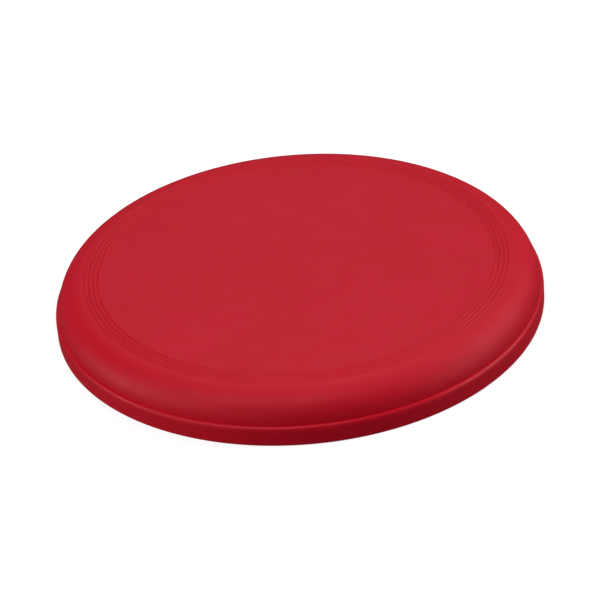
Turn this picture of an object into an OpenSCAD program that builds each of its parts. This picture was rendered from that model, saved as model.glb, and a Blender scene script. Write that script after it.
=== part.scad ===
// Flying disc: a thin domed flight shell that stands on a proud grip band.
// Everything is a shape of revolution about Z. The band's lower face lies at Z = 0.

/* [Overall] */
// Outside diameter, across the grip band
disc_d = 218; // [200:0.5:236]
// Height of the flat flight plate's upper face above the ground
plate_h = 21.7; // [20.5:0.1:24]
// Wall thickness of the whole moulding
wall = 1.9; // [1.6:0.1:2.2]

/* [Shoulder] */
// How far the foot of the shoulder stands in from the outside of the band
step_w = 1.6; // [1.6:0.1:2.4]
// Radius of the wide curve low on the shoulder
low_curve_r = 13.5; // [12.5:0.1:14.5]
// Radius of the tighter curve that runs into the flight plate
top_curve_r = 11.7; // [10.5:0.1:12.2]
// Angle above the horizontal at which the two curves meet
curve_meet = 30; // [20:1:45]

/* [Flight rings] */
// Number of raised rings on the plate
ring_count = 4; // [1:1:8]
// Distance from one ring to the next
ring_pitch = 2; // [1.6:0.1:3]
// Width of a ring where it meets the plate
ring_w = 1; // [0.6:0.1:1.2]
// Height of a ring above the plate
ring_h = 0.3; // [0.1:0.05:0.3]
// Distance from the outermost ring's centre line to the start of the shoulder
ring_inset = 1.2; // [0.8:0.1:4]

/* [Grip band] */
// Height of the band's upper ledge above the ground
band_h = 9.1; // [8.5:0.1:10]
// Radius of the slight crown at the top of the band's outer face
band_crown_r = 6; // [5:0.5:6.5]
// Angle above the horizontal at which the crown runs into the tight upper edge
band_crown_meet = 15; // [10:1:16]
// Radius of the band's upper outside edge
band_top_r = 1.3; // [0.6:0.1:1.4]
// Radius of the band's lower outside edge
band_foot_r = 0.8; // [0.3:0.1:0.9]
// Radius of the band's lower inside edge
band_lip_r = 0.4; // [0.2:0.1:0.6]

/* [Hidden] */
$fn = 180;
disc_colour = "crimson";

band_r = disc_d / 2;
shoulder_r = band_r - step_w;
// Centre of the shoulder's lower curve, on the cross-section
low_centre_r = shoulder_r - low_curve_r;
low_centre_z = plate_h - top_curve_r - (low_curve_r - top_curve_r) * sin(curve_meet);
// The plate is flat out to the top of the shoulder's upper curve
flat_r = low_centre_r + (low_curve_r - top_curve_r) * cos(curve_meet);
// Inside radius of the shell where it stands on the band
foot_rise = max(band_h - low_centre_z, 0);
foot_inside_r = low_centre_r + sqrt(pow(low_curve_r - wall, 2) - pow(foot_rise, 2));
// The ledge is flat out to the top of the band's upper edge
ledge_r = band_r - band_crown_r + (band_crown_r - band_top_r) * cos(band_crown_meet);
outer_ring_r = flat_r - ring_inset;
// Radius of the round wire that a ring is the top of
ring_arc_r = ring_w * ring_w / (8 * ring_h) + ring_h / 2;

// The cross-section of a solid drum of radius outer_r and height top_z with a rounded top corner.
// A wide curve on the outside runs smoothly into a tighter one that ends on the flat top.
module crowned_drum(outer_r, top_z, wide_r, tight_r, meet) {
    wide_centre_r = outer_r - wide_r;
    wide_centre_z = top_z - tight_r - (wide_r - tight_r) * sin(meet);
    tight_centre_r = wide_centre_r + (wide_r - tight_r) * cos(meet);
    square([outer_r, wide_centre_z]);
    square([tight_centre_r, top_z]);
    translate([wide_centre_r, wide_centre_z])
        intersection() {
            circle(r = wide_r);
            rotate(meet - 90)
                square(wide_r);
        }
    translate([tight_centre_r, top_z - tight_r])
        circle(r = tight_r);
}

module shell_section() {
    difference() {
        crowned_drum(shoulder_r, plate_h, low_curve_r, top_curve_r, curve_meet);
        crowned_drum(shoulder_r - wall, plate_h - wall, low_curve_r - wall, top_curve_r - wall, curve_meet);
        // Everything below the band's ledge
        translate([0, -plate_h])
            square([band_r, plate_h + band_h]);
    }
}

module flight_ring_sections() {
    for (i = [0 : ring_count - 1])
        translate([outer_ring_r - i * ring_pitch, plate_h + ring_h - ring_arc_r])
            circle(r = ring_arc_r);
}

// A square corner of edge r turned into a quarter round, with the round's centre at the origin
module round_corner(r) {
    intersection() {
        circle(r = r);
        square(r);
    }
}

module band_section() {
    // Ledge that carries the shoulder's foot
    translate([foot_inside_r, band_h - wall])
        square([ledge_r - foot_inside_r, wall]);
    // Outer wall, crowned towards its upper edge
    intersection() {
        crowned_drum(band_r, band_h, band_crown_r, band_top_r, band_crown_meet);
        translate([band_r - wall, band_foot_r])
            square([wall, band_h - band_foot_r]);
    }
    // Lower edge
    translate([band_r - band_foot_r, band_foot_r])
        mirror([0, 1])
            round_corner(band_foot_r);
    translate([band_r - wall + band_lip_r, 0])
        square([wall - band_lip_r - band_foot_r, band_foot_r]);
    translate([band_r - wall, band_lip_r])
        square([band_lip_r, band_foot_r - band_lip_r]);
    translate([band_r - wall + band_lip_r, band_lip_r])
        mirror([1, 0])
            mirror([0, 1])
                round_corner(band_lip_r);
}

module flight_shell() {
    color(disc_colour)
        rotate_extrude() {
            shell_section();
            flight_ring_sections();
        }
}

module rim_band() {
    color(disc_colour)
        rotate_extrude()
            band_section();
}

flight_shell();
rim_band();
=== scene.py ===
import math

import bmesh
import bpy
from mathutils import Matrix, Vector


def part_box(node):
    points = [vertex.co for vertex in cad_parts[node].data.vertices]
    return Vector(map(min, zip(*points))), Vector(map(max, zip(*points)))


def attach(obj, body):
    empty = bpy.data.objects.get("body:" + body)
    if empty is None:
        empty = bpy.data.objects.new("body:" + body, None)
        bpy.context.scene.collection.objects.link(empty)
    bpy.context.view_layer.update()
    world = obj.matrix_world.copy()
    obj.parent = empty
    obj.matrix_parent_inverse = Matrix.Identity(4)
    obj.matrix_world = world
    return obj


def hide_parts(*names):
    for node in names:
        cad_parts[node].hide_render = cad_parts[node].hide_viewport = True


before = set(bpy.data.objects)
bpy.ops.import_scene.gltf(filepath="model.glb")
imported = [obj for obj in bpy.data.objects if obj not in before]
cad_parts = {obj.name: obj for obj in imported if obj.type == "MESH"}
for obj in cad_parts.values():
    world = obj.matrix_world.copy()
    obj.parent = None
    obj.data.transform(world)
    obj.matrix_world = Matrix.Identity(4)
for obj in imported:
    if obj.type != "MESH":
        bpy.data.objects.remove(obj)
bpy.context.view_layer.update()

# ---------------------------------------------------------------------------------------------
# Sizes, in metres. The driving ones come from the frame, the rest are the design's own.
# ---------------------------------------------------------------------------------------------
MM = 0.001

shell_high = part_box("flight_shell")[1]
band_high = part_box("rim_band")[1]

BAND_R = band_high.x
BAND_H = band_high.z
SHOULDER_R = shell_high.x
RING_H = 0.3 * MM
PLATE_Z = shell_high.z - RING_H
WALL = 1.9 * MM

LOW_CURVE_R = 13.5 * MM
TOP_CURVE_R = 11.7 * MM
CURVE_MEET = 30.0

RING_COUNT = 4
RING_PITCH = 2.0 * MM
RING_W = 1.0 * MM
RING_INSET = 1.2 * MM

BAND_CROWN_R = 6.0 * MM
BAND_CROWN_BEND = 15.0
BAND_TOP_R = 1.3 * MM

BAND_FOOT_R = 0.8 * MM
BAND_LIP_R = 0.4 * MM

# Centres of the two shoulder curves, as (radius, height)
BEND = math.radians(CURVE_MEET)
LOW_CENTRE = (
    SHOULDER_R - LOW_CURVE_R,
    PLATE_Z - TOP_CURVE_R + (TOP_CURVE_R - LOW_CURVE_R) * math.sin(BEND),
)
TOP_CENTRE = (
    LOW_CENTRE[0] - (TOP_CURVE_R - LOW_CURVE_R) * math.cos(BEND),
    PLATE_Z - TOP_CURVE_R,
)
FLAT_R = TOP_CENTRE[0]
OUTER_RING_R = FLAT_R - RING_INSET
INNER_RING_R = OUTER_RING_R - (RING_COUNT - 1) * RING_PITCH

# Centres of the two curves at the top of the band's outer face
CROWN_BEND = math.radians(BAND_CROWN_BEND)
TOP_EDGE_CENTRE = (
    BAND_R - BAND_CROWN_R + (BAND_CROWN_R - BAND_TOP_R) * math.cos(CROWN_BEND),
    BAND_H - BAND_TOP_R,
)
CROWN_CENTRE = (
    BAND_R - BAND_CROWN_R,
    TOP_EDGE_CENTRE[1] - (BAND_CROWN_R - BAND_TOP_R) * math.sin(CROWN_BEND),
)

# Inside radius of the shell where it stands on the ledge
FOOT_R = SHOULDER_R - WALL

# Mark left by the moulding gate, a shallow round recess in the middle of the underside
GATE_R = 4.0 * MM
GATE_PIP_R = 1.1 * MM
GATE_DEPTH = 0.5 * MM

# Small rounds inside the rim, where the ledge meets the two walls
INSIDE_ROUND_R = 0.5 * MM

# Mesh detail
TURN_STEPS = 360
PLATE_STEPS = 16
RING_STEPS = 8
FLAT_MARGIN = 0.15 * MM
SHARP_ANGLE = math.radians(35)

# Plastic. Each size is about the width of that pattern's blotches.
FLOW_SIZE = 35.0 * MM
GLOSS_SIZE = 12.0 * MM
SCUFF_SIZE = 3.0 * MM
SINK_SIZE = 22.0 * MM
SINK_DEPTH = 0.035 * MM
GRAIN_SIZE = 0.5 * MM
GRAIN_DEPTH = 0.045 * MM
SCRATCH_CURVE_SIZE = 60.0 * MM
SCRATCH_PATCH_SIZE = 9.0 * MM
SCRATCH_DEPTH = 0.010 * MM
# A scratch lies where its curve noise is this close to its middle value
SCRATCH_REACH = 0.0022
SCRATCH_POLISH = 0.18
RING_POLISH = 0.05
BAND_POLISH = 0.20

# Stage
FLOOR_SIZE = 14.0
BACKDROP_R = 6.5

# Camera. Its distance is in disc radii, so that the disc fills the same part of the picture at any size.
CAMERA_DISTANCE = 10.735 * BAND_R
CAMERA_ELEVATION = math.radians(32.37)
CAMERA_ROLL = math.radians(-5.11)
CAMERA_AIM = Vector((0.0006 * BAND_R, 0.0313 * BAND_R, 0.0))
FILM_WIDTH_MM = 36.0
LENS_MM = 156.64


# ---------------------------------------------------------------------------------------------
# Mesh tools
# ---------------------------------------------------------------------------------------------
def arc(centre, radius, start, end, steps):
    """Points (radius, height) along an arc on the cross-section. Angles are in degrees."""
    points = []
    for i in range(steps + 1):
        a = math.radians(start + (end - start) * i / steps)
        points.append((centre[0] + radius * math.cos(a), centre[1] + radius * math.sin(a)))
    return points


def straight(start, end):
    """A straight stretch with a point close to each end, so that the shading stays flat along it."""
    length = math.dist(start, end)
    near = min(FLAT_MARGIN, length / 3) / length
    points = []
    for t in (0.0, near, 1.0 - near, 1.0):
        points.append((start[0] + (end[0] - start[0]) * t, start[1] + (end[1] - start[1]) * t))
    return points


def lathe(name, profile, closed):
    """Turns a cross-section about Z. An open one starts and ends on the axis, a closed one is a loop."""
    bm = bmesh.new()
    rings = []
    for r, z in profile:
        if r < 1e-7:
            rings.append([bm.verts.new((0.0, 0.0, z))])
            continue
        ring = []
        for i in range(TURN_STEPS):
            a = 2 * math.pi * i / TURN_STEPS
            ring.append(bm.verts.new((r * math.cos(a), r * math.sin(a), z)))
        rings.append(ring)
    pairs = list(zip(rings, rings[1:]))
    if closed:
        pairs.append((rings[-1], rings[0]))
    for first, second in pairs:
        for i in range(TURN_STEPS):
            corners = []
            for ring, step in ((first, i), (second, i), (second, i + 1), (first, i + 1)):
                corner = ring[step % len(ring)]
                if corner not in corners:
                    corners.append(corner)
            bm.faces.new(corners)
    bmesh.ops.recalc_face_normals(bm, faces=bm.faces)
    mesh = bpy.data.meshes.new(name)
    bm.to_mesh(mesh)
    bm.free()
    for face in mesh.polygons:
        face.use_smooth = True
    mesh.set_sharp_from_angle(angle=SHARP_ANGLE)
    piece = bpy.data.objects.new(name, mesh)
    bpy.context.scene.collection.objects.link(piece)
    return piece


# ---------------------------------------------------------------------------------------------
# Cross-sections
# ---------------------------------------------------------------------------------------------
def ring_bump(centre_r):
    """One raised flight ring, from its inner foot to its outer foot."""
    points = []
    for i in range(RING_STEPS + 1):
        t = i / RING_STEPS
        x = centre_r + (t - 0.5) * RING_W
        points.append((x, PLATE_Z + RING_H * math.sin(math.pi * t) ** 1.5))
    return points


def gate_mark(z):
    """The recess in the underside, from its rim to the axis, with the cut gate's pip in the middle."""
    floor_z = z + GATE_DEPTH
    wall = [(GATE_R, z), (GATE_R - 0.1 * MM, z + 0.1 * MM), (GATE_R - 0.3 * MM, floor_z - 0.1 * MM)]
    floor = straight((GATE_R - 0.45 * MM, floor_z), (GATE_PIP_R + 0.15 * MM, floor_z))
    pip_z = z + 0.15 * MM
    pip_side = [(GATE_PIP_R, floor_z - 0.1 * MM), (GATE_PIP_R - 0.1 * MM, pip_z)]
    pip_top = [(0.5 * GATE_PIP_R, pip_z), (0.0, pip_z)]
    return wall + floor + pip_side + pip_top


def shell_profile():
    """From the middle of the plate out over the rings and shoulder, and back under to the axis."""
    inside_rings_r = 0.985 * INNER_RING_R
    top = []
    for i in range(PLATE_STEPS + 1):
        top.append((inside_rings_r * i / PLATE_STEPS, PLATE_Z))
    for k in range(RING_COUNT):
        top += ring_bump(INNER_RING_R + k * RING_PITCH)
    shoulder = arc(TOP_CENTRE, TOP_CURVE_R, 90, CURVE_MEET, 20)
    shoulder += arc(LOW_CENTRE, LOW_CURVE_R, CURVE_MEET, 0, 14)[1:]
    inner = arc(LOW_CENTRE, LOW_CURVE_R - WALL, 0, CURVE_MEET, 12)
    inner += arc(TOP_CENTRE, TOP_CURVE_R - WALL, CURVE_MEET, 90, 16)[1:]
    under_z = PLATE_Z - WALL
    under = []
    for i in range(PLATE_STEPS - 1, 0, -1):
        under.append((FLAT_R * i / PLATE_STEPS, under_z))
    return top + shoulder + inner + under + gate_mark(under_z)


def band_profile():
    """From the ledge's inner edge out and down over the face, and back up inside."""
    ledge = straight((FOOT_R, BAND_H), (TOP_EDGE_CENTRE[0], BAND_H))
    top_edge = arc(TOP_EDGE_CENTRE, BAND_TOP_R, 90, BAND_CROWN_BEND, 12)[1:]
    crown = arc(CROWN_CENTRE, BAND_CROWN_R, BAND_CROWN_BEND, 0, 6)[1:-1]
    face = straight((BAND_R, CROWN_CENTRE[1]), (BAND_R, BAND_FOOT_R))
    foot_edge = arc((BAND_R - BAND_FOOT_R, BAND_FOOT_R), BAND_FOOT_R, 0, -90, 8)[1:]
    lip = arc((BAND_R - WALL + BAND_LIP_R, BAND_LIP_R), BAND_LIP_R, 270, 180, 6)[:-1]
    under_z = BAND_H - WALL
    fillet_centre = (BAND_R - WALL - INSIDE_ROUND_R, under_z - INSIDE_ROUND_R)
    inner_face = straight((BAND_R - WALL, BAND_LIP_R), (BAND_R - WALL, fillet_centre[1]))
    fillet = arc(fillet_centre, INSIDE_ROUND_R, 0, 90, 6)[1:]
    corner_centre = (FOOT_R + INSIDE_ROUND_R, under_z + INSIDE_ROUND_R)
    corner = arc(corner_centre, INSIDE_ROUND_R, 270, 180, 6)
    return ledge + top_edge + crown + face + foot_edge + lip + inner_face + fillet + corner


# ---------------------------------------------------------------------------------------------
# Materials
# ---------------------------------------------------------------------------------------------
def add_node(tree, kind, inputs, **settings):
    """Adds a shader node. Each input is a plain value or another node's output."""
    node = tree.nodes.new("ShaderNode" + kind)
    for key, value in settings.items():
        setattr(node, key, value)
    for key, value in inputs.items():
        if isinstance(value, bpy.types.NodeSocket):
            tree.links.new(value, node.inputs[key])
        else:
            node.inputs[key].default_value = value
    return node


def noise(tree, place, size, detail):
    """Cloudy noise whose blotches are about as wide as size."""
    settings = {"Vector": place, "Scale": 1.0 / size, "Detail": detail}
    return add_node(tree, "TexNoise", settings).outputs["Fac"]


def ranged(tree, value, start, end, low, high):
    """Maps value from start..end to low..high and holds it at the ends."""
    settings = {"Value": value, "From Min": start, "From Max": end, "To Min": low, "To Max": high}
    return add_node(tree, "MapRange", settings).outputs["Result"]


def combine(tree, operation, first, second):
    return add_node(tree, "Math", {0: first, 1: second}, operation=operation).outputs["Value"]


def hairlines(tree, place):
    """1 along thin curved scratches, 0 elsewhere."""
    from_middle = combine(tree, "SUBTRACT", noise(tree, place, SCRATCH_CURVE_SIZE, 1.0), 0.5)
    line = ranged(tree, combine(tree, "ABSOLUTE", from_middle, 0.0), 0.0, SCRATCH_REACH, 1.0, 0.0)
    patch = ranged(tree, noise(tree, place, SCRATCH_PATCH_SIZE, 1.0), 0.52, 0.62, 0.0, 1.0)
    return combine(tree, "MULTIPLY", line, patch)


def surface_height(tree, place, scratches):
    """Height in metres: slow sink of the moulding, fine moulded grain and the scratches."""
    sink = combine(tree, "MULTIPLY", noise(tree, place, SINK_SIZE, 1.0), SINK_DEPTH)
    grain = combine(tree, "MULTIPLY", noise(tree, place, GRAIN_SIZE, 2.0), GRAIN_DEPTH)
    cuts = combine(tree, "MULTIPLY", scratches, -SCRATCH_DEPTH)
    return combine(tree, "ADD", combine(tree, "ADD", sink, grain), cuts)


def rubbing(tree, place, zones):
    """1 where handling has rubbed the surface. A zone is a pair of heights, from untouched to rubbed."""
    height = add_node(tree, "SeparateXYZ", {"Vector": place}).outputs["Z"]
    scuffs = ranged(tree, noise(tree, place, SCUFF_SIZE, 4.0), 0.35, 0.65, 0.5, 1.0)
    rubbed = 0.0
    for untouched, worn in zones:
        rubbed = combine(tree, "MAXIMUM", rubbed, ranged(tree, height, untouched, worn, 0.0, 1.0))
    return combine(tree, "MULTIPLY", rubbed, scuffs)


def red_plastic(name, rubbed_zones, polish):
    """Satin red polypropylene. Rubbing lowers its roughness by up to polish."""
    mat = bpy.data.materials.new(name)
    mat.use_nodes = True
    tree = mat.node_tree
    place = add_node(tree, "TexCoord", {}).outputs["Object"]

    flow = ranged(tree, noise(tree, place, FLOW_SIZE, 3.0), 0.35, 0.65, 0.0, 1.0)
    deep_red = (0.541, 0.0003, 0.0118, 1)
    bright_red = (0.561, 0.0007, 0.0142, 1)
    reds = {"Fac": flow, "Color1": deep_red, "Color2": bright_red}
    colour = add_node(tree, "MixRGB", reds).outputs["Color"]

    scratches = hairlines(tree, place)
    rubbed = rubbing(tree, place, rubbed_zones)
    satin = ranged(tree, noise(tree, place, GLOSS_SIZE, 3.0), 0.3, 0.7, 0.51, 0.59)
    satin = combine(tree, "SUBTRACT", satin, combine(tree, "MULTIPLY", scratches, SCRATCH_POLISH))
    satin = combine(tree, "SUBTRACT", satin, combine(tree, "MULTIPLY", rubbed, polish))
    bump = {"Height": surface_height(tree, place, scratches), "Strength": 1.0, "Distance": 1.0}
    normal = add_node(tree, "Bump", bump).outputs["Normal"]

    bsdf = tree.nodes["Principled BSDF"]
    bsdf.inputs["IOR"].default_value = 1.49
    bsdf.inputs["Specular IOR Level"].default_value = 0.35
    bsdf.inputs["Specular Tint"].default_value = (1.0, 0.68, 0.74, 1)
    tree.links.new(colour, bsdf.inputs["Base Color"])
    tree.links.new(satin, bsdf.inputs["Roughness"])
    tree.links.new(normal, bsdf.inputs["Normal"])
    return mat


# ---------------------------------------------------------------------------------------------
# Object
# ---------------------------------------------------------------------------------------------
def build_shell():
    piece = lathe("flight_shell_visual", shell_profile(), closed=False)
    ring_crowns = (PLATE_Z + RING_H / 3, PLATE_Z + RING_H)
    piece.data.materials.append(red_plastic("shell_red", [ring_crowns], RING_POLISH))
    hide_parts("flight_shell")
    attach(piece, "root")


def build_band():
    piece = lathe("rim_band_visual", band_profile(), closed=True)
    foot = (1.2 * MM, 0.0)
    upper_edge = (BAND_H - 1.6 * MM, BAND_H - 0.6 * MM)
    piece.data.materials.append(red_plastic("band_red", [foot, upper_edge], BAND_POLISH))
    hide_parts("rim_band")
    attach(piece, "root")


# ---------------------------------------------------------------------------------------------
# Stage, light and camera
# ---------------------------------------------------------------------------------------------
def glowing_white(name, albedo, glow):
    """A matt surface that glows, so that it stays pale in the picture."""
    mat = bpy.data.materials.new(name)
    mat.use_nodes = True
    bsdf = mat.node_tree.nodes["Principled BSDF"]
    bsdf.inputs["Base Color"].default_value = (albedo, albedo, albedo, 1)
    bsdf.inputs["Roughness"].default_value = 0.9
    bsdf.inputs["Emission Color"].default_value = (1, 1, 1, 1)
    bsdf.inputs["Emission Strength"].default_value = glow
    return mat


def build_floor():
    """The floor doesn't light the disc. The lower half of the world does so in its place."""
    bpy.ops.mesh.primitive_plane_add(size=FLOOR_SIZE, location=(0, 0, 0))
    floor = bpy.context.object
    floor.name = "floor"
    floor.data.materials.append(glowing_white("pale_floor", 0.5, 0.70))
    floor.visible_diffuse = False
    floor.visible_glossy = False


def build_backdrop():
    bpy.ops.mesh.primitive_uv_sphere_add(segments=64, ring_count=32, radius=BACKDROP_R, location=(0, 0, 0))
    backdrop = bpy.context.object
    backdrop.name = "backdrop"
    backdrop.data.materials.append(glowing_white("pale_backdrop", 0.0, 0.95))
    backdrop.visible_diffuse = False
    backdrop.visible_glossy = False
    backdrop.visible_shadow = False


def softbox(name, azimuth, elevation, distance, size, power):
    """A square area light that faces the disc. Azimuth 0 is in front (-Y), 90 is on the right (+X)."""
    a, e = math.radians(azimuth), math.radians(elevation)
    where = Vector((math.sin(a) * math.cos(e), -math.cos(a) * math.cos(e), math.sin(e))) * distance
    light = bpy.data.lights.new(name, "AREA")
    light.shape = "SQUARE"
    light.size = size
    light.energy = power
    lamp = bpy.data.objects.new(name, light)
    lamp.location = where
    lamp.rotation_euler = (-where).to_track_quat("-Z", "Y").to_euler()
    lamp.visible_camera = False
    bpy.context.scene.collection.objects.link(lamp)


def build_world(above, below):
    """Soft light from all round: one brightness above the horizon and another below it."""
    world = bpy.data.worlds.new("studio")
    world.use_nodes = True
    nodes, links = world.node_tree.nodes, world.node_tree.links
    place = nodes.new("ShaderNodeTexCoord")
    split = nodes.new("ShaderNodeSeparateXYZ")
    blend = nodes.new("ShaderNodeMapRange")
    blend.inputs["From Min"].default_value = -0.1
    blend.inputs["From Max"].default_value = 0.1
    blend.inputs["To Min"].default_value = below
    blend.inputs["To Max"].default_value = above
    background = nodes["Background"]
    background.inputs["Color"].default_value = (1, 1, 1, 1)
    links.new(place.outputs["Generated"], split.inputs["Vector"])
    links.new(split.outputs["Z"], blend.inputs["Value"])
    links.new(blend.outputs["Result"], background.inputs["Strength"])
    bpy.context.scene.world = world


def build_camera():
    """A long lens from the front, tipped a little to one side."""
    where = Vector((0.0, -math.cos(CAMERA_ELEVATION), math.sin(CAMERA_ELEVATION))) * CAMERA_DISTANCE
    data = bpy.data.cameras.new("camera")
    data.sensor_width = FILM_WIDTH_MM
    data.lens = LENS_MM
    camera = bpy.data.objects.new("camera", data)
    camera.location = where
    turn = (CAMERA_AIM - where).to_track_quat("-Z", "Y").to_matrix().to_4x4()
    camera.rotation_euler = (turn @ Matrix.Rotation(CAMERA_ROLL, 4, "Z")).to_euler()
    bpy.context.scene.collection.objects.link(camera)
    bpy.context.scene.camera = camera


build_camera()
build_shell()
build_band()
build_floor()
build_backdrop()
build_world(0.142, 0.095)
softbox("left_low", 275, 5, 2.0, 0.6, 13.0)
softbox("right_low", 75, 7, 2.0, 0.6, 7.2)
softbox("front_left", 310, 13, 2.0, 0.9, 4.1)
softbox("right", 95, 27, 1.4, 0.63, 5.4)
softbox("right_high", 120, 45, 2.0, 0.9, 6.8)
softbox("left_high", 300, 50, 2.0, 0.9, 4.9)
softbox("back", 180, 52, 2.0, 0.9, 6.2)
softbox("key_above", 340, 62, 1.0, 0.6, 3.0)
bpy.context.scene.view_settings.view_transform = "Standard"
